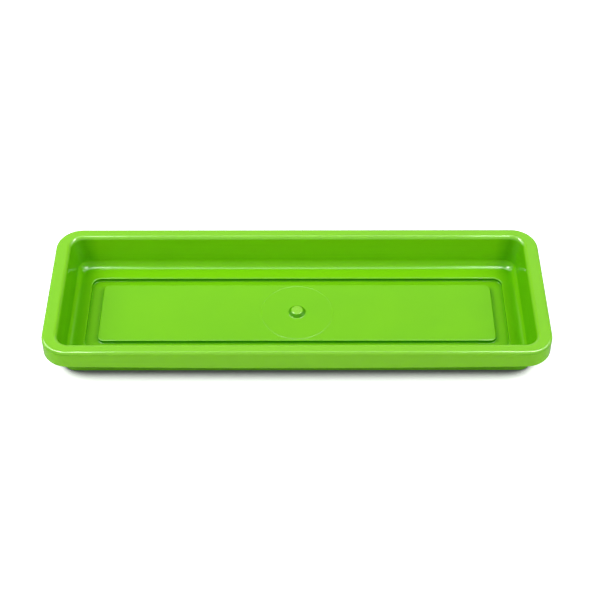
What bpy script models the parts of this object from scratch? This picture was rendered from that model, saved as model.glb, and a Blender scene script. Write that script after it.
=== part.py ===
# A window box saucer, moulded in one piece of green plastic.
# Metres, +Z up. The ground is z = 0, the length runs along X, and -Y is the near long side.
# The shape is a loft: rounded outlines, each with its own size and height, run over the rim,
# down the well, across the platform, back along the underside and up inside the skirt.

import math
from collections import namedtuple

import bmesh
import bpy

# The whole tray
rim_length = 0.400
rim_width = 0.139
rim_height = 0.0345  # ground to the top of the rim
wall = 0.002  # thickness of the moulding

# Rim and skirt
rim_corner = 0.021  # plan radius of the outer corners
rim_side = 0.0073  # outside of the rim to its inner rounding, on the long sides
rim_end = 0.009  # the same on the short ends
rim_rounding = 0.0025  # outer edge of the rim
skirt_depth = 0.0156  # rim top to the skirt's lower edge, at the corners
skirt_bow = 0.0018  # how much lower the skirt hangs at the middle of the long sides
steep_draft = math.radians(1)  # skirt and foot

# Well
well_corner = 0.013  # plan radius where the rim's top turns down
well_rounding = 0.0033  # inner edge of the rim
well_draft = math.radians(11)
cove_radius = 0.0072  # from the wall to the ledge

# Floor: a ledge all round, a moat inside it and a raised platform
moat_clearance = 0.0018  # ground to the underside of the moat
ledge_rise = 0.0032  # moat floor to ledge
platform_rise = 0.0029  # moat floor to platform
ledge_side = 0.0099
ledge_end = 0.0060
moat_side = 0.0067
moat_end = 0.0100
moat_corner = 0.0072
platform_corner = 0.0052
floor_rounding = 0.0009  # upper edges of the ledge and the platform

# Foot ring
foot_height = 0.0138  # ground to where the foot leaves the wall
edge_rounding = 0.0005  # lower edges of the foot and the skirt

# Middle of the platform
bead_margin = 0.0006  # platform's rounding to the bead
bead_width = 0.0009
bead_height = 0.00018
boss_radius = 0.0073
boss_top_radius = 0.0043
boss_height = 0.0027
boss_rounding = 0.0004
gate_radius = 0.0012  # the moulding's gate, in the hollow under the boss
gate_height = 0.0007

# Facets
corner_steps = 8
side_steps = 12
circle_steps = 64
fine_steps = 2  # roundings under a millimetre
edge_steps = 3
rim_steps = 5
cove_steps = 6
bead_steps = 4
tightest_corner = 0.0006  # an outline's corner is never tighter
sharp_angle = math.radians(35)

green = (0.22, 0.68, 0.02, 1.0)
gloss = 0.28

# An outline seen from above: half its length, half its width and its corner radius.
Outline = namedtuple("Outline", "length width corner")


def shrunk(outline, side, end=None, keep_corner=False):
    """The outline moved inwards: by side on the long sides, and by end on the short ones."""
    end = side if end is None else end
    corner = outline.corner if keep_corner else outline.corner - side
    return Outline(outline.length - end, outline.width - side, max(corner, tightest_corner))


def arc(radius, start, end, steps):
    """Points (inwards, up) on an arc, from start to end in radians, with 0 pointing inwards."""
    turns = [start + (end - start) * step / steps for step in range(steps + 1)]
    return [(radius * math.cos(turn), radius * math.sin(turn)) for turn in turns]


def add_outline(bm, outline, height, bow=0.0):
    """A closed loop of vertices. With a bow, the long sides hang lower towards their middle."""
    straight = outline.length - outline.corner
    across = outline.width - outline.corner
    places = []
    for quarter, (x_side, y_side) in enumerate(((1, 1), (-1, 1), (-1, -1), (1, -1))):
        for step in range(corner_steps + 1):
            turn = math.pi / 2 * (quarter + step / corner_steps)
            x = x_side * straight + outline.corner * math.cos(turn)
            y = y_side * across + outline.corner * math.sin(turn)
            places.append((x, y, height))
        if quarter % 2 == 0:
            y = y_side * outline.width
            for step in range(1, side_steps):
                x = x_side * straight * (1 - 2 * step / side_steps)
                places.append((x, y, height - bow * (1 - (x / straight) ** 2)))
    return [bm.verts.new(place) for place in places]


def add_circle(bm, radius, height):
    turns = [2 * math.pi * step / circle_steps for step in range(circle_steps)]
    return [bm.verts.new((radius * math.cos(t), radius * math.sin(t), height)) for t in turns]


def pairs(loop):
    return list(zip(loop, loop[1:] + loop[:1]))


def loft(bm, loops):
    """A skin of four-sided faces from each loop to the next."""
    for one, other in zip(loops, loops[1:]):
        for (a, b), (c, d) in zip(pairs(one), pairs(other)):
            bm.faces.new((a, b, d, c))


def fill_between(bm, outer, inner):
    """A flat face between an outline and the circle inside it."""
    edges = [bm.edges.get(pair) for pair in pairs(outer) + pairs(inner)]
    bmesh.ops.triangle_fill(bm, edges=edges, use_beauty=True)


# Levels above the ground
moat_floor = moat_clearance + wall
ledge_level = moat_floor + ledge_rise
platform_level = moat_floor + platform_rise
rim_under = rim_height - wall
skirt_level = rim_height - skirt_depth

# Outlines that the levels share
skirt_edge = Outline(rim_length / 2, rim_width / 2, rim_corner)
rim_outline = shrunk(skirt_edge, (skirt_depth - rim_rounding) * math.tan(steep_draft))
well_outline = shrunk(rim_outline, rim_side, rim_end)._replace(corner=well_corner)
wall_top = shrunk(well_outline, well_rounding * math.cos(well_draft))
wall_top_level = rim_height - well_rounding * (1 - math.sin(well_draft))
wall_foot_level = ledge_level + cove_radius * (1 - math.sin(well_draft))
wall_run = (wall_top_level - wall_foot_level) * math.tan(well_draft)
wall_foot = shrunk(wall_top, wall_run, keep_corner=True)
ledge_start = shrunk(wall_foot, cove_radius * math.cos(well_draft))
moat_outline = shrunk(ledge_start, ledge_side, ledge_end)._replace(corner=moat_corner)
platform_outline = shrunk(moat_outline, moat_side, moat_end)._replace(corner=platform_corner)
outer_gap = wall / math.cos(well_draft)  # the wall's thickness, measured level
foot_run = (wall_top_level - foot_height) * math.tan(well_draft)
foot_outline = shrunk(wall_top, foot_run - outer_gap, keep_corner=True)
foot_bottom = shrunk(foot_outline, foot_height * math.tan(steep_draft))
foot_inside = shrunk(foot_outline, wall)


def rim_and_skirt(bm):
    """The outside of the skirt, from its lower edge up, then the rim's outer rounding."""
    loops = []
    for inwards, up in arc(edge_rounding, math.pi * 1.5, math.pi, fine_steps):
        outline = shrunk(skirt_edge, edge_rounding + inwards)
        loops.append(add_outline(bm, outline, skirt_level + edge_rounding + up, skirt_bow))
    for inwards, up in arc(rim_rounding, math.pi, math.pi / 2, rim_steps):
        outline = shrunk(rim_outline, rim_rounding + inwards)
        loops.append(add_outline(bm, outline, rim_height - rim_rounding + up))
    return loops


def well(bm):
    """The rim's inner rounding, the sloping wall and the cove down to the ledge."""
    loops = []
    for inwards, up in arc(well_rounding, math.pi / 2, well_draft, rim_steps):
        outline = shrunk(well_outline, inwards)
        loops.append(add_outline(bm, outline, rim_height - well_rounding + up))
    start = math.pi + well_draft
    for inwards, up in arc(cove_radius, start, math.pi * 1.5, cove_steps):
        outline = shrunk(wall_foot, cove_radius * math.cos(well_draft) + inwards)
        loops.append(add_outline(bm, outline, ledge_level + cove_radius + up))
    return loops


def moat_and_platform(bm):
    """The ledge's rounded edge, the moat's floor and the platform's rounded edge."""
    loops = []
    for inwards, up in arc(floor_rounding, math.pi / 2, 0, edge_steps):
        outline = shrunk(moat_outline, inwards - floor_rounding)
        loops.append(add_outline(bm, outline, ledge_level - floor_rounding + up))
    loops.append(add_outline(bm, moat_outline, moat_floor))
    loops.append(add_outline(bm, platform_outline, moat_floor))
    for inwards, up in arc(floor_rounding, math.pi, math.pi / 2, edge_steps):
        outline = shrunk(platform_outline, floor_rounding + inwards)
        loops.append(add_outline(bm, outline, platform_level - floor_rounding + up))
    return loops


def bead(bm):
    """A low round line in the platform's top, from outside to inside."""
    middle = platform_outline.width - floor_rounding - bead_margin - bead_width / 2
    loops = []
    for step in range(bead_steps + 1):
        across = 1 - 2 * step / bead_steps
        up = bead_height * (1 - across**2)
        loops.append(add_circle(bm, middle + across * bead_width / 2, platform_level + up))
    return loops


def boss(bm):
    """A small flat-topped cone, with a rounded top edge."""
    slope = math.atan2(boss_height, boss_radius - boss_top_radius)
    top = platform_level + boss_height
    flat_radius = boss_top_radius - boss_rounding * math.tan(slope / 2)
    loops = [add_circle(bm, boss_radius, platform_level)]
    for outwards, up in arc(boss_rounding, math.pi / 2 - slope, math.pi / 2, fine_steps):
        loops.append(add_circle(bm, flat_radius + outwards, top - boss_rounding + up))
    return loops


def boss_hollow(bm):
    """The hollow under the boss, seen from below, with the gate's short stub in its roof."""
    slope = math.atan2(boss_height, boss_radius - boss_top_radius)
    thinner = wall * math.tan(slope / 2)
    under = platform_level - wall
    roof = under + boss_height
    return [
        add_circle(bm, boss_radius - thinner, under),
        add_circle(bm, boss_top_radius - thinner, roof),
        add_circle(bm, gate_radius, roof),
        add_circle(bm, gate_radius, roof - gate_height),
    ]


def floor_underside(bm):
    """Below the platform, round the moat and out to the foot, one wall's thickness down."""
    inner = shrunk(platform_outline, wall)
    outer = shrunk(moat_outline, -wall)
    moat_under = moat_floor - wall
    loops = [add_outline(bm, inner, platform_level - wall)]
    loops.append(add_outline(bm, inner, moat_under))
    loops.append(add_outline(bm, outer, moat_under))
    loops.append(add_outline(bm, outer, ledge_level - wall))
    radius = cove_radius + wall
    reach = foot_inside.width - ledge_start.width
    meeting = math.asin(min(reach / radius, 1))
    for inwards, up in arc(radius, math.pi * 1.5, math.pi * 1.5 - meeting, rim_steps):
        outline = shrunk(ledge_start, inwards)
        loops.append(add_outline(bm, outline, ledge_level + cove_radius + up))
    return loops


def foot(bm):
    """The foot ring's bottom, with its outer edge rounded, and its outside up to the wall."""
    loops = [add_outline(bm, foot_inside, 0)]
    for inwards, up in arc(edge_rounding, math.pi * 1.5, math.pi, fine_steps):
        outline = shrunk(foot_bottom, edge_rounding + inwards)
        loops.append(add_outline(bm, outline, edge_rounding + up))
    loops.append(add_outline(bm, foot_outline, foot_height))
    return loops


def rim_underside(bm):
    """Up the outside of the wall, under the rim and down the inside of the skirt."""
    inner_radius = max(well_rounding - wall, tightest_corner)
    loops = []
    for inwards, up in arc(inner_radius, well_draft, math.pi / 2, edge_steps):
        outline = shrunk(well_outline, inwards)
        loops.append(add_outline(bm, outline, rim_under - inner_radius + up))
    skirt_inside = shrunk(rim_outline, wall)
    for inwards, up in arc(edge_rounding, math.pi / 2, math.pi, fine_steps):
        outline = shrunk(skirt_inside, edge_rounding + inwards)
        loops.append(add_outline(bm, outline, rim_under - edge_rounding + up))
    for inwards, up in arc(edge_rounding, 0, -math.pi / 2, fine_steps):
        outline = shrunk(skirt_edge, wall - edge_rounding + inwards)
        loops.append(add_outline(bm, outline, skirt_level + edge_rounding + up, skirt_bow))
    return loops


def plastic():
    material = bpy.data.materials.new("green_plastic")
    material.use_nodes = True
    shader = material.node_tree.nodes["Principled BSDF"]
    shader.inputs["Base Color"].default_value = green
    shader.inputs["Roughness"].default_value = gloss
    shader.inputs["Metallic"].default_value = 0.0
    return material


def saucer():
    bm = bmesh.new()
    top = rim_and_skirt(bm) + well(bm) + moat_and_platform(bm)
    under = floor_underside(bm) + foot(bm) + rim_underside(bm)
    round_line = bead(bm)
    cone = boss(bm)
    hollow = boss_hollow(bm)
    loft(bm, top)
    loft(bm, under)
    loft(bm, [under[-1], top[0]])
    loft(bm, round_line)
    loft(bm, cone)
    loft(bm, hollow)
    fill_between(bm, top[-1], round_line[0])
    fill_between(bm, round_line[-1], cone[0])
    fill_between(bm, under[0], hollow[0])
    bm.faces.new(cone[-1])
    bm.faces.new(hollow[-1])
    bmesh.ops.recalc_face_normals(bm, faces=bm.faces)
    mesh = bpy.data.meshes.new("saucer")
    bm.to_mesh(mesh)
    bm.free()
    mesh.materials.append(plastic())
    mesh.shade_smooth()
    mesh.set_sharp_from_angle(angle=sharp_angle)
    tray = bpy.data.objects.new("saucer", mesh)
    bpy.context.scene.collection.objects.link(tray)
    return tray


for old in list(bpy.data.objects):
    bpy.data.objects.remove(old, do_unlink=True)
saucer()
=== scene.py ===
import math

import bmesh
import bpy
from mathutils import Matrix, Vector


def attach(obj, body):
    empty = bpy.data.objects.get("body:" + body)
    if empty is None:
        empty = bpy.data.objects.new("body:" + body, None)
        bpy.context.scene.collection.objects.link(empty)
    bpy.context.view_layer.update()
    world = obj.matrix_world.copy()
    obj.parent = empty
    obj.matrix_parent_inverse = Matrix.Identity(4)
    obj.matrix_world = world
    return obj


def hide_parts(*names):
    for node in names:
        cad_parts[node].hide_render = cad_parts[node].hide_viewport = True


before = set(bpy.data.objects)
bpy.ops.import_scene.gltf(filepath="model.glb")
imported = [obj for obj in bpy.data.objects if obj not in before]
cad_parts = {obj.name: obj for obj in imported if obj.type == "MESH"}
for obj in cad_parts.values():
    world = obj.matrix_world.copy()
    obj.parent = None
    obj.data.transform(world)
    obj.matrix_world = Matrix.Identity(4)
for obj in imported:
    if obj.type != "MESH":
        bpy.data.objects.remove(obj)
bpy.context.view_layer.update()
print("frame loaded:", ", ".join(sorted(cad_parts)))

# The moulding, in millimetres and degrees
tray = {
    "length": 400.0, "width": 139.0, "height": 34.5, "wall": 2.0,
    "rimCorner": 21.0, "rimSide": 7.3, "rimEnd": 9.0, "rimRounding": 2.5,
    "skirtDepth": 15.6, "skirtBow": 1.8, "skirtDraft": 1.0, "bowedStrip": 3.0,
    "wellCorner": 13.0, "wellRounding": 3.3, "wellDraft": 11.0, "cove": 7.2,
    "moatClearance": 1.8, "ledgeRise": 3.2, "platformRise": 2.9,
    "ledgeSide": 9.9, "ledgeEnd": 6.0, "moatSide": 6.7, "moatEnd": 10.0,
    "moatCorner": 7.2, "platformCorner": 5.2, "reliefRounding": 0.9, "crease": 0.35,
    "footHeight": 13.8, "edgeRounding": 0.5, "underEasing": 0.8,
    "platformMargin": 0.3, "underMargin": 1.2, "leastCorner": 0.6,
    "cornerSegments": 24, "cutsAlong": 24, "holdingStrip": 0.12, "leastFlat": 0.5,
}

# The round mark in the middle of the platform, in millimetres
mark = {
    "beadRadius": 29.35, "beadWidth": 0.9, "beadHeight": 0.18, "beadRounding": 0.35, "beadMargin": 0.15,
    "bossRadius": 7.3, "bossTopRadius": 4.3, "bossHeight": 2.7, "bossRounding": 0.4, "bossFillet": 0.35,
    "gateRadius": 1.2, "gateHeight": 0.7, "gateTaper": 0.05, "gateRounding": 0.15,
    "hollowRounding": 0.3, "hollowMargin": 1.0, "segments": 96,
}


def smaller(outline, side, end=None, keepCorner=False):
    # an outline is its half length, half width and corner radius
    end = side if end is None else end
    corner = outline[2] if keepCorner else max(outline[2] - side, tray["leastCorner"])
    return (outline[0] - end, outline[1] - side, corner)


def drawOutline(bm, outline, height):
    square = bmesh.ops.create_grid(bm, x_segments=1, y_segments=1, size=0.5)["verts"]
    bmesh.ops.scale(bm, vec=(2 * outline[0], 2 * outline[1], 1), verts=square)
    bmesh.ops.translate(bm, vec=(0, 0, height), verts=square)
    bmesh.ops.bevel(bm, geom=square, offset=outline[2], offset_type="ABSOLUTE", affect="VERTICES",
                    segments=tray["cornerSegments"], profile=0.5, material=-1)
    bmesh.ops.delete(bm, geom=bm.faces[:], context="FACES_ONLY")
    return bm.edges[:]


def pullOn(bm, edges):
    # a new loop from the old one, still on top of it
    made = bmesh.ops.extrude_edge_only(bm, edges=edges)["geom"]
    verts = [part for part in made if isinstance(part, bmesh.types.BMVert)]
    fresh = set(verts)
    loop = [part for part in made if isinstance(part, bmesh.types.BMEdge) and set(part.verts) <= fresh]
    return verts, loop


def toOutline(bm, verts, old, new, height):
    # carries a loop to its next outline, one corner at a time
    for xSide in (-1, 1):
        for ySide in (-1, 1):
            corner = [v for v in verts if v.co.x * xSide > 0 and v.co.y * ySide > 0]
            oldCentre = Vector((xSide * (old[0] - old[2]), ySide * (old[1] - old[2]), corner[0].co.z))
            newCentre = Vector((xSide * (new[0] - new[2]), ySide * (new[1] - new[2]), height))
            growth = new[2] / old[2]
            bmesh.ops.scale(bm, vec=(growth, growth, 1), space=Matrix.Translation(-oldCentre), verts=corner)
            bmesh.ops.translate(bm, vec=newCentre - oldCentre, verts=corner)


def traySteps():
    # every sharp line of the moulding, from the platform out over the rim and back underneath:
    # outline, height, rounding and its segments
    t = tray
    draft, slope = math.radians(t["skirtDraft"]), math.radians(t["wellDraft"])
    moatFloor = t["moatClearance"] + t["wall"]
    ledge, platform = moatFloor + t["ledgeRise"], moatFloor + t["platformRise"]
    rimUnder, skirtLevel = t["height"] - t["wall"], t["height"] - t["skirtDepth"]
    bend = math.tan((math.pi / 2 - slope) / 2)
    skirtEdge = (t["length"] / 2, t["width"] / 2, t["rimCorner"])
    rimEdge = smaller(skirtEdge, t["skirtDepth"] * math.tan(draft))
    wellFlat = smaller(rimEdge, t["rimSide"], t["rimEnd"])[:2] + (t["wellCorner"],)
    wellEdge = smaller(wellFlat, t["wellRounding"] * bend)
    wallFoot = smaller(wellEdge, (t["height"] - ledge) * math.tan(slope), keepCorner=True)
    ledgeFlat = smaller(wallFoot, t["cove"] * bend)
    moatEdge = smaller(ledgeFlat, t["ledgeSide"], t["ledgeEnd"])[:2] + (t["moatCorner"],)
    platformEdge = smaller(moatEdge, t["moatSide"], t["moatEnd"])[:2] + (t["platformCorner"],)
    platformFlat = smaller(platformEdge, t["reliefRounding"] + t["platformMargin"])
    thick = t["wall"] / math.cos(slope)
    underRounding = t["wellRounding"] - t["wall"]
    underWell = smaller(wellFlat, underRounding * bend)
    footTop = smaller(wellEdge, (t["height"] - t["footHeight"]) * math.tan(slope) - thick, keepCorner=True)
    footOutside = smaller(footTop, t["footHeight"] * math.tan(draft))
    footInside = smaller(footTop, t["wall"])
    coveUnder = t["cove"] + t["wall"]
    reach = math.asin(min((footInside[1] - ledgeFlat[1]) / coveUnder, 1))
    coveTop = ledge - t["wall"] + coveUnder * (1 - math.cos(reach))
    coveEdge = smaller(ledgeFlat, -coveUnder * math.tan(reach / 2))
    coveRounding = t["underEasing"] * coveUnder * math.tan(reach / 2)
    moatUnder, platformUnder = smaller(moatEdge, -t["wall"]), smaller(platformEdge, t["wall"])
    soft, crease, fine = t["reliefRounding"], t["crease"], t["edgeRounding"]
    return [
        (platformFlat, platform, 0, 0), (platformEdge, platform, soft, 6),
        (platformEdge, moatFloor, crease, 3), (moatEdge, moatFloor, crease, 3), (moatEdge, ledge, soft, 6),
        (wallFoot, ledge, t["cove"] * bend, 16), (wellEdge, t["height"], t["wellRounding"] * bend, 12),
        (rimEdge, t["height"], t["rimRounding"] * math.tan((math.pi / 2 - draft) / 2), 12),
        (skirtEdge, skirtLevel, fine, 4), (smaller(skirtEdge, t["wall"]), skirtLevel, fine, 4),
        (smaller(rimEdge, t["wall"]), rimUnder, fine, 3), (underWell, rimUnder, underRounding * bend, 4),
        (footTop, t["footHeight"], crease, 2), (footOutside, 0.0, fine, 4), (footInside, 0.0, crease, 2),
        (footInside, coveTop, crease, 2), (coveEdge, ledge - t["wall"], coveRounding, 6),
        (moatUnder, ledge - t["wall"], crease, 2), (moatUnder, t["moatClearance"], crease, 2),
        (platformUnder, t["moatClearance"], crease, 2), (platformUnder, platform - t["wall"], crease, 2),
        (smaller(platformUnder, t["underMargin"]), platform - t["wall"], 0, 0),
    ]


def markRings(level):
    # the boss and the bead, from the middle out: radius, height, rounding and its segments
    inner, outer = (mark["beadRadius"] + side * mark["beadWidth"] / 2 for side in (-1, 1))
    return [
        (mark["bossTopRadius"], level + mark["bossHeight"], mark["bossRounding"], 4),
        (mark["bossRadius"], level, mark["bossFillet"], 3),
        (inner - mark["beadMargin"], level, 0, 0), (inner, level, 0, 0),
        (mark["beadRadius"], level + mark["beadHeight"], mark["beadRounding"], 5),
        (outer, level, 0, 0), (outer + mark["beadMargin"], level, 0, 0),
    ]


def hollowRings(level):
    # the hollow under the boss, with the stub of the mould's gate
    roof = level + mark["bossHeight"]
    slope = math.atan2(mark["bossHeight"], mark["bossRadius"] - mark["bossTopRadius"])
    thinner = tray["wall"] * math.tan(slope / 2)
    return [
        (mark["gateRadius"], roof - mark["gateHeight"], mark["gateRounding"], 2),
        (mark["gateRadius"] + mark["gateTaper"], roof, mark["gateRounding"], 2),
        (mark["bossTopRadius"] - thinner, roof, mark["hollowRounding"], 2),
        (mark["bossRadius"] - thinner, level, mark["hollowRounding"], 2),
        (mark["bossRadius"] + mark["hollowMargin"], level, 0, 0),
    ]


def pullRings(bm, rings):
    radius, height = rings[0][:2]
    cap = bmesh.ops.create_circle(bm, cap_ends=True, segments=mark["segments"], radius=radius)["verts"]
    bmesh.ops.translate(bm, vec=(0, 0, height), verts=cap)
    loops = [[edge for edge in bm.edges if edge.verts[0] in cap and edge.verts[1] in cap]]
    for (oldRadius, oldHeight, *_), (radius, height, *_) in zip(rings, rings[1:]):
        verts, loop = pullOn(bm, loops[-1])
        growth = radius / oldRadius
        bmesh.ops.scale(bm, vec=(growth, growth, 1), verts=verts)
        bmesh.ops.translate(bm, vec=(0, 0, height - oldHeight), verts=verts)
        loops.append(loop)
    return loops


def bowSkirt(bm):
    # the skirt hangs lowest at the middle of the long sides
    skirtLevel, straight = tray["height"] - tray["skirtDepth"], tray["length"] / 2 - tray["rimCorner"]
    nearest, tolerance = tray["width"] / 2 - tray["bowedStrip"], 0.01
    for v in bm.verts:
        if abs(v.co.z - skirtLevel) < tolerance and abs(v.co.x) < straight and abs(v.co.y) > nearest:
            v.co.z -= tray["skirtBow"] * (1 - (v.co.x / straight) ** 2)


def buildTray():
    bm = bmesh.new()
    line = bm.edges.layers.int.new("line")  # which sharp line an edge belongs to
    roundings = []

    def remember(loops, steps):
        for loop, step in zip(loops, steps):
            roundings.append(step[2:4])
            for edge in loop:
                edge[line] = len(roundings)

    steps = traySteps()
    loops = [drawOutline(bm, steps[0][0], steps[0][1])]
    for old, new in zip(steps, steps[1:]):
        verts, loop = pullOn(bm, loops[-1])
        toOutline(bm, verts, old[0], new[0], new[1])
        loops.append(loop)
    remember(loops, steps)
    first, last = 1, len(steps)

    straight = steps[0][0][0] - steps[0][0][2]
    for cut in range(1, tray["cutsAlong"]):
        x = straight * (2 * cut / tray["cutsAlong"] - 1)
        bmesh.ops.bisect_plane(bm, geom=bm.verts[:] + bm.edges[:] + bm.faces[:], dist=0.001,
                               plane_co=(x, 0, 0), plane_no=(1, 0, 0))
    bowSkirt(bm)

    for rings, edgeLine in ((markRings(steps[0][1]), first), (hollowRings(steps[-1][1]), last)):
        ringLoops = pullRings(bm, rings)
        remember(ringLoops, rings)
        around = [edge for edge in bm.edges if edge[line] == edgeLine]
        bmesh.ops.triangle_fill(bm, edges=around + ringLoops[-1], use_beauty=True)
    bmesh.ops.recalc_face_normals(bm, faces=bm.faces)

    rounded = set()
    for number, (rounding, segments) in enumerate(roundings, start=1):
        if rounding:
            edges = [edge for edge in bm.edges if edge[line] == number]
            made = bmesh.ops.bevel(bm, geom=edges, offset=rounding, offset_type="OFFSET", affect="EDGES",
                                   segments=segments, profile=0.5, material=-1, clamp_overlap=False)
            for edge in bm.edges:
                if edge[line] == number:
                    edge[line] = 0
            rounded = {face for face in rounded if face.is_valid} | set(made["faces"])
    flats = [face for face in bm.faces if face not in rounded and face.calc_area() > tray["leastFlat"]]
    bmesh.ops.inset_region(bm, faces=flats, thickness=tray["holdingStrip"],
                           use_boundary=True, use_even_offset=True)
    bmesh.ops.scale(bm, vec=(0.001, 0.001, 0.001), verts=bm.verts)  # from millimetres to metres
    bmesh.ops.recalc_face_normals(bm, faces=bm.faces)
    for face in bm.faces:
        face.smooth = True
    mesh = bpy.data.meshes.new("saucerMoulding")
    bm.to_mesh(mesh)
    bm.free()
    piece = bpy.data.objects.new("saucerMoulding", mesh)
    bpy.context.scene.collection.objects.link(piece)
    print("tray modelled:", len(mesh.polygons), "faces")
    return piece


# Semi-gloss green polypropylene, less glossy down in the well, with shade painted in as a deeper green down
# in the well, in its creases, at its ends, on the risers, on the foot ring and on the boss's flank.
# Lengths and heights are in metres, and a turn is a range of one part of the face's normal.
plastic = {
    # deepGreen and shadeGreen are the colours of painted shade; paleGreen is the whitened plastic at the gate
    "green": (0.240, 0.69, 0.0045), "deepGreen": (0.055, 0.38, 0.0005),
    "shadeGreen": (0.010, 0.20, 0.0002), "paleGreen": (0.34, 0.76, 0.07),
    "steepTurn": (0.20, 0.30), "flatTurn": (0.970, 0.995), "wallTurn": (0.05, 0.15),
    "underTurn": (-0.30, -0.05), "endTurn": (0.03, 0.12), "cornerTurn": (0.08, 0.25),
    # painted shade in the creases and down the well, held back on the moat floor
    "creaseReach": 0.016, "creaseLevels": (0.35, 0.82), "wellLevels": (0.0060, 0.0200), "wellShade": 0.80,
    "moatLight": 0.42, "moatTop": (0.0042, 0.0047),
    # painted shade at the ends of the well, held back in their coves where more light falls
    "paintedEndShade": (0.166, 0.179), "endShadeBelow": (0.0312, 0.0342), "endShadeStrength": 0.58, "endShadeDull": (0.5, 0.95),
    "coveLight": 0.72, "coveBand": (0.25, 0.45, 0.80, 0.94), "coveTop": (0.0140, 0.0160),
    # painted shade on the risers and on the foot ring
    "stepShade": 0.97, "stepTurn": (0.45, 0.75), "stepLevels": (0.0049, 0.0056, 0.0060, 0.0066),
    "stepLength": (0.1745, 0.1760), "stepWidth": (0.0415, 0.0430),
    "footShade": 0.25, "footTurn": (0.05, 0.10), "footTop": (0.0140, 0.0150),
    "mottle": 0.035, "mottleScale": 22.0, "mottleLevels": (0.3, 0.7),
    "streak": 0.05, "streakScale": (8.0, 8.0, 900.0), "noiseLevels": (0.35, 0.65),
    # painted shade on the boss's flank; the paler top is the whitened plastic at the gate
    "paintedFlankShade": 0.60, "collarRadius": (0.0078, 0.0082), "collarLevels": (0.0069, 0.0073, 0.0087, 0.0092),
    "gateRadius": (0.0043, 0.0049), "gateLevels": (0.0086, 0.0092),
    "speckleScale": 1200.0, "speckleLeast": 0.3,
    "ior": 1.49, "roughness": 0.14, "haze": 0.02, "grain": 0.000004, "grainScale": 1500.0,
    "gloss": {
        "rim": 0.50, "wall": 0.14, "edge": 1.50, "moat": 0.12, "floor": 0.26, "roundings": 0.62,
        "moatLevels": (0.0045, 0.0060), "floorLevels": (0.0076, 0.0110), "roundingLevels": (0.0150, 0.0300),
        "cove": (0.12, 0.45), "coveTurn": (0.80, 0.93), "corner": 0.85,
        "endCove": (0.29, 0.02), "endCoveTurn": (0.76, 0.90), "endDull": 0.60,
        "relief": (0.12, 0.75), "reliefTurn": (0.80, 0.94), "reliefTop": (0.0069, 0.0071),
        "reliefEndDull": 0.85,
    },
}


def addNode(tree, kind, inputs=None, **settings):
    node = tree.nodes.new(kind)
    for name, value in settings.items():
        setattr(node, name, value)
    for name, value in (inputs or {}).items():
        if isinstance(value, bpy.types.NodeSocket):
            tree.links.new(value, node.inputs[name])
        else:
            node.inputs[name].default_value = value
    return node


def spread(tree, value, low, high, toLow, toHigh, **settings):
    inputs = {"Value": value, "From Min": low, "From Max": high, "To Min": toLow, "To Max": toHigh}
    return addNode(tree, "ShaderNodeMapRange", inputs, **settings).outputs["Result"]


def calculate(tree, operation, first, second):
    return addNode(tree, "ShaderNodeMath", {0: first, 1: second}, operation=operation).outputs[0]


def product(tree, first, second):
    return calculate(tree, "MULTIPLY", first, second)


def blend(tree, share, first, second):
    return addNode(tree, "ShaderNodeMix", {0: share, 2: first, 3: second}).outputs[0]


def blendColours(tree, share, first, second):
    # a colour is a socket or its three parts
    first, second = (c if isinstance(c, bpy.types.NodeSocket) else (*c, 1) for c in (first, second))
    return addNode(tree, "ShaderNodeMix", {0: share, 6: first, 7: second}, data_type="RGBA").outputs[2]


def noise(tree, place, scale, detail):
    return addNode(tree, "ShaderNodeTexNoise", {"Vector": place, "Scale": scale, "Detail": detail}).outputs[0]


def partOf(tree, vector, axis):
    return addNode(tree, "ShaderNodeSeparateXYZ", {0: vector}).outputs[axis]


def withoutSign(tree, value):
    return calculate(tree, "ABSOLUTE", value, 0.0)


def between(tree, value, levels):
    # 0 outside the outer two of four levels, 1 between the inner two
    return calculate(tree, "MINIMUM", spread(tree, value, levels[0], levels[1], 0.0, 1.0),
                     spread(tree, value, levels[2], levels[3], 1.0, 0.0))


def paintedEndShade(tree, place, height, level):
    # painted shade: the ends of the well, shaded by the end walls, are a deeper green than the rest, but less
    # so in their coves, which catch more light
    p = plastic
    endShade = spread(tree, withoutSign(tree, partOf(tree, place, "X")), *p["paintedEndShade"], 0.0, 1.0)
    inside = product(tree, spread(tree, height, *p["endShadeBelow"], 1.0, 0.0),
                     spread(tree, level, *p["wallTurn"], 0.0, 1.0))
    inCove = product(tree, between(tree, level, p["coveBand"]),
                     spread(tree, height, *p["coveTop"], p["coveLight"], 0.0))
    inside = product(tree, inside, calculate(tree, "SUBTRACT", 1.0, inCove))
    return product(tree, endShade, inside)


def greenShare(tree, place, height, mottle, steepness, endShade):
    # how light the green is: painted shade makes it deeper in the creases, down in the well and at the shaded
    # ends of the well, but less so on the moat floor; it is also mottled, with fine lines along the steep
    # faces
    p = plastic
    # painted shade: an occlusion test darkens the green in the creases, and the green is painted deeper down
    # the well
    crease = addNode(tree, "ShaderNodeAmbientOcclusion", {"Distance": p["creaseReach"]},
                     only_local=True, samples=8).outputs["AO"]
    share = product(tree, spread(tree, height, *p["wellLevels"], p["wellShade"], 1.0),
                    spread(tree, crease, *p["creaseLevels"], 0.0, 1.0))
    # the painted crease shade is held back on the moat floor
    share = calculate(tree, "MAXIMUM", share, spread(tree, height, *p["moatTop"], p["moatLight"], 0.0))
    # painted shade at the ends of the well
    share = product(tree, share, spread(tree, endShade, 0.0, 1.0, 1.0, 1.0 - p["endShadeStrength"]))
    share = calculate(tree, "ADD", share, spread(tree, mottle, *p["mottleLevels"], -p["mottle"], p["mottle"]))
    alongFace = addNode(tree, "ShaderNodeVectorMath", {0: place, 1: p["streakScale"]}, operation="MULTIPLY")
    drawn = noise(tree, alongFace.outputs[0], 1.0, 2.0)
    lines = spread(tree, drawn, *p["noiseLevels"], -p["streak"], p["streak"])
    return calculate(tree, "ADD", share, product(tree, lines, steepness))


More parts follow.
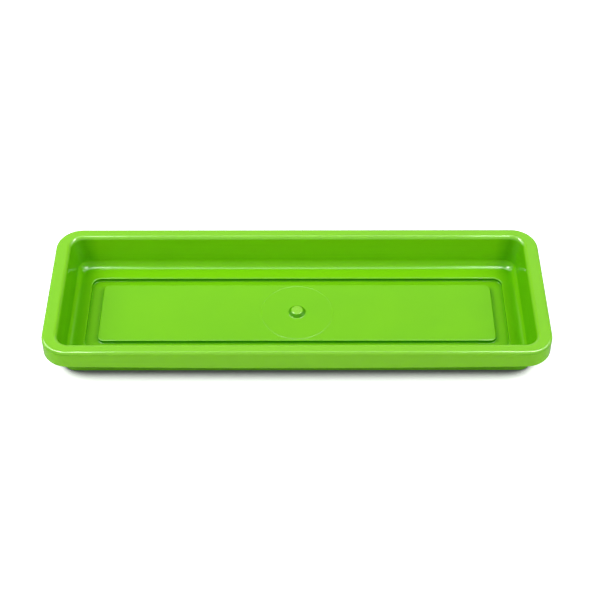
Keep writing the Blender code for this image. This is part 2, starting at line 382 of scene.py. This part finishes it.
def shadeOf(tree, place, height, level):
    # painted shade on the risers at the platform and the ledge, which face away from the lamps, and on the
    # foot ring below the rim, in the skirt's shadow
    p = plastic
    riser = product(tree, spread(tree, level, *p["stepTurn"], p["stepShade"], 0.0),
                    between(tree, height, p["stepLevels"]))
    awayX, awayY = (withoutSign(tree, partOf(tree, place, axis)) for axis in "XY")
    inside = product(tree, spread(tree, awayX, *p["stepLength"], 1.0, 0.0),
                     spread(tree, awayY, *p["stepWidth"], 1.0, 0.0))
    onFoot = product(tree, spread(tree, height, *p["footTop"], p["footShade"], 0.0),
                     calculate(tree, "SUBTRACT", 1.0, inside))
    onFoot = product(tree, onFoot, spread(tree, level, *p["footTurn"], 1.0, 0.0))
    return calculate(tree, "ADD", product(tree, riser, inside), onFoot)


def gateBlushAndFlankShade(tree, place, height, colour):
    # painted shade makes the boss's flank deeper, as it is steep and gets less light; its top is paler, as
    # the plastic is where it was let into the mould
    p = plastic
    onPlan = addNode(tree, "ShaderNodeVectorMath", {0: place, 1: (1.0, 1.0, 0.0)}, operation="MULTIPLY")
    away = addNode(tree, "ShaderNodeVectorMath", {0: onPlan.outputs[0]}, operation="LENGTH").outputs["Value"]
    paintedFlankShade = product(tree, between(tree, height, p["collarLevels"]),
                     spread(tree, away, *p["collarRadius"], p["paintedFlankShade"], 0.0))
    speckle = noise(tree, place, p["speckleScale"], 3.0)
    speckle = spread(tree, speckle, *p["noiseLevels"], p["speckleLeast"], 1.0)
    top = product(tree, spread(tree, height, *p["gateLevels"], 0.0, 1.0),
                  spread(tree, away, *p["gateRadius"], 1.0, 0.0))
    flank = blendColours(tree, paintedFlankShade, colour, p["shadeGreen"])
    return blendColours(tree, product(tree, top, speckle), flank, p["paleGreen"])


def glossOf(tree, height, level, turned, steepness, endShade):
    # moulded roundings shine, the walls and the ends of the well hardly do
    g = plastic["gloss"]
    atEnd = spread(tree, withoutSign(tree, turned["Y"]), *plastic["endTurn"], 1.0, 0.0)
    atCorner = spread(tree, withoutSign(tree, turned["X"]), *plastic["cornerTurn"], 0.0, 1.0)
    flat = calculate(tree, "MAXIMUM", spread(tree, height, *g["moatLevels"], g["moat"], g["floor"]),
                     spread(tree, height, *g["floorLevels"], 0.0, g["rim"]))
    dullFrom, dulled = plastic["endShadeDull"]
    flat = product(tree, flat, spread(tree, endShade, 0.0, dullFrom, 1.0, 1.0 - dulled))
    brightest = spread(tree, atCorner, 0.0, 1.0, g["cove"][1], g["corner"])
    alongCove = spread(tree, level, *g["coveTurn"], g["cove"][0], brightest)
    endCove = spread(tree, level, *g["endCoveTurn"], *g["endCove"])
    cove = blend(tree, atEnd, alongCove, endCove)
    upper = product(tree, spread(tree, atEnd, 0.0, 1.0, 1.0, 1.0 - g["endDull"]), g["roundings"])
    rounding = blend(tree, spread(tree, height, *g["roundingLevels"], 0.0, 1.0), cove, upper)
    relief = product(tree, spread(tree, level, *g["reliefTurn"], *g["relief"]),
                     spread(tree, atEnd, 0.0, 1.0, 1.0, 1.0 - g["reliefEndDull"]))
    rounding = blend(tree, spread(tree, height, *g["reliefTop"], 1.0, 0.0), rounding, relief)
    steep = calculate(tree, "MAXIMUM", spread(tree, level, *plastic["wallTurn"], g["rim"], g["wall"]),
                      spread(tree, level, *plastic["underTurn"], g["edge"], 0.0))
    gentle = blend(tree, spread(tree, level, *plastic["flatTurn"], 0.0, 1.0), rounding, flat)
    return blend(tree, steepness, gentle, steep)


def greenPlastic():
    material = bpy.data.materials.new("greenPlastic")
    material.use_nodes = True
    tree = material.node_tree
    shader = tree.nodes["Principled BSDF"].inputs
    shader["IOR"].default_value = plastic["ior"]
    place = tree.nodes.new("ShaderNodeTexCoord").outputs["Object"]
    height = partOf(tree, place, "Z")
    facing = tree.nodes.new("ShaderNodeNewGeometry").outputs["Normal"]
    turned = addNode(tree, "ShaderNodeSeparateXYZ", {0: facing}).outputs
    level = turned["Z"]
    steepness = spread(tree, level, *plastic["steepTurn"], 1.0, 0.0)
    endShade = paintedEndShade(tree, place, height, level)
    mottle = noise(tree, place, plastic["mottleScale"], 3.0)

    share = greenShare(tree, place, height, mottle, steepness, endShade)
    colour = blendColours(tree, share, plastic["deepGreen"], plastic["green"])
    colour = blendColours(tree, shadeOf(tree, place, height, level), colour, plastic["shadeGreen"])
    tree.links.new(gateBlushAndFlankShade(tree, place, height, colour), shader["Base Color"])
    tree.links.new(glossOf(tree, height, level, turned, steepness, endShade), shader["Specular IOR Level"])
    smoothest, roughest = plastic["roughness"] - plastic["haze"], plastic["roughness"] + plastic["haze"]
    tree.links.new(spread(tree, mottle, *plastic["noiseLevels"], smoothest, roughest), shader["Roughness"])
    grain = noise(tree, place, plastic["grainScale"], 2.0)
    relief = addNode(tree, "ShaderNodeBump", {"Height": grain, "Distance": plastic["grain"]})
    tree.links.new(relief.outputs[0], shader["Normal"])
    print("green plastic ready")
    return material


saucer = buildTray()
saucer.data.materials.append(greenPlastic())
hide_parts("saucer")
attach(saucer, "root")

# The table that it stands on, the studio's lights and the camera, in metres and degrees
studio = {
    "floorColour": (0.93, 0.93, 0.93), "floorSize": 8.0, "floorRoughness": 0.8,
    # the floor's contact shadow is painted in from an occlusion test, and the floor is painted darker in
    # reflections
    "floorGlow": 0.80, "floorMirrorShade": 0.5,
    "contactReach": 0.019, "contactDark": 0.50, "contactClear": 0.84, "contactShade": 0.05,
    "domeFront": 0.55, "domeBack": 0.11, "domeTurn": (-0.35, 0.55),
    "softboxes": {
        "leftBar": {"place": (-0.63, 0.00, 1.25), "size": (0.30, 0.60), "power": 17.0, "onlyGloss": True},
        "rightBar": {"place": (0.60, 0.00, 1.25), "size": (0.30, 0.62), "power": 14.0, "onlyGloss": True},
        "topStrip": {"place": (0.00, 0.33, 1.25), "size": (0.80, 0.40), "power": 3.2},
        "leftPanel": {"place": (-1.20, 0.25, 1.00), "size": (0.80, 0.80), "power": 12.8},
        "rightPanel": {"place": (1.20, 0.10, 1.00), "size": (0.80, 0.80), "power": 7.8},
    },
}
viewpoint = {"place": (0.0032, -0.7750, 0.8450), "down": 46.752, "turn": 0.056, "roll": -0.098, "lens": 83.6}


def seenDirectly(tree):
    # what the camera sees, and what a reflection or clear plastic shows:
    # each is 1 for the rays that show the background itself, and 0 for the light that it gives
    path = tree.nodes.new("ShaderNodeLightPath").outputs
    mirrored = calculate(tree, "MAXIMUM", path["Is Glossy Ray"], path["Is Transmission Ray"])
    return path["Is Camera Ray"], mirrored


def whiteFloor():
    # white to the camera but for the tray's contact shadow, which is painted in from an occlusion test, and
    # plain to the light that it gives, but painted darker in reflections
    material = bpy.data.materials.new("whiteFloor")
    material.use_nodes = True
    tree = material.node_tree
    shader = tree.nodes["Principled BSDF"].inputs
    shader["Roughness"].default_value = studio["floorRoughness"]
    contact = addNode(tree, "ShaderNodeAmbientOcclusion", {"Distance": studio["contactReach"]},
                      samples=24).outputs["AO"]
    shade = spread(tree, contact, studio["contactDark"], studio["contactClear"], studio["contactShade"], 1.0,
                   interpolation_type="SMOOTHSTEP")
    view, mirrored = seenDirectly(tree)
    paintedContactShadow = calculate(tree, "MAXIMUM", shade, calculate(tree, "SUBTRACT", 1.0, view))
    inMirror = calculate(tree, "SUBTRACT", 1.0, product(tree, mirrored, studio["floorMirrorShade"]))
    tint = blendColours(tree, product(tree, paintedContactShadow, inMirror), (0, 0, 0), studio["floorColour"])
    tree.links.new(tint, shader["Base Color"])
    tree.links.new(tint, shader["Emission Color"])
    tree.links.new(product(tree, view, studio["floorGlow"]), shader["Emission Strength"])
    return material


def layFloor():
    bm = bmesh.new()
    bmesh.ops.create_grid(bm, x_segments=1, y_segments=1, size=studio["floorSize"] / 2)
    mesh = bpy.data.meshes.new("floor")
    bm.to_mesh(mesh)
    bm.free()
    floor = bpy.data.objects.new("floor", mesh)
    bpy.context.scene.collection.objects.link(floor)
    mesh.materials.append(whiteFloor())


def hangSoftbox(name, box):
    lamp = bpy.data.lights.new(name, "AREA")
    lamp.shape = "RECTANGLE"
    lamp.size, lamp.size_y = box["size"]
    lamp.energy = box["power"]
    softbox = bpy.data.objects.new(name, lamp)
    softbox.location = box["place"]
    softbox.visible_diffuse = not box.get("onlyGloss")
    softbox.rotation_euler = (-Vector(box["place"])).to_track_quat("-Z", "Y").to_euler()
    bpy.context.scene.collection.objects.link(softbox)


def lightDome():
    # a pale studio in front of the tray and a dim one behind it, and plain white where it is seen itself
    world = bpy.data.worlds.new("studioDome")
    bpy.context.scene.world = world
    world.use_nodes = True
    tree = world.node_tree
    dome = tree.nodes["Background"]
    dome.inputs["Color"].default_value = (1, 1, 1, 1)
    depth = partOf(tree, tree.nodes.new("ShaderNodeTexCoord").outputs["Generated"], "Y")
    strength = spread(tree, depth, *studio["domeTurn"], studio["domeFront"], studio["domeBack"],
                      interpolation_type="SMOOTHSTEP")
    tree.links.new(strength, dome.inputs["Strength"])
    backdrop = addNode(tree, "ShaderNodeBackground", {"Color": (1, 1, 1, 1)})
    seen = calculate(tree, "MAXIMUM", *seenDirectly(tree))
    pick = addNode(tree, "ShaderNodeMixShader", {0: seen, 1: dome.outputs[0], 2: backdrop.outputs[0]})
    tree.links.new(pick.outputs[0], tree.nodes["World Output"].inputs["Surface"])


def standCamera():
    camera = bpy.data.objects.new("camera", bpy.data.cameras.new("camera"))
    camera.data.lens = viewpoint["lens"]
    camera.data.sensor_width = 36
    turns = [Matrix.Rotation(math.radians(angle), 4, axis) for angle, axis in (
        (viewpoint["turn"], "Z"), (90 - viewpoint["down"], "X"), (viewpoint["roll"], "Z"))]
    camera.matrix_world = Matrix.Translation(viewpoint["place"]) @ turns[0] @ turns[1] @ turns[2]
    bpy.context.scene.collection.objects.link(camera)
    bpy.context.scene.camera = camera


layFloor()
for name, box in studio["softboxes"].items():
    hangSoftbox(name, box)
lightDome()
standCamera()
bpy.context.scene.view_settings.view_transform = "Standard"
print("studio ready")
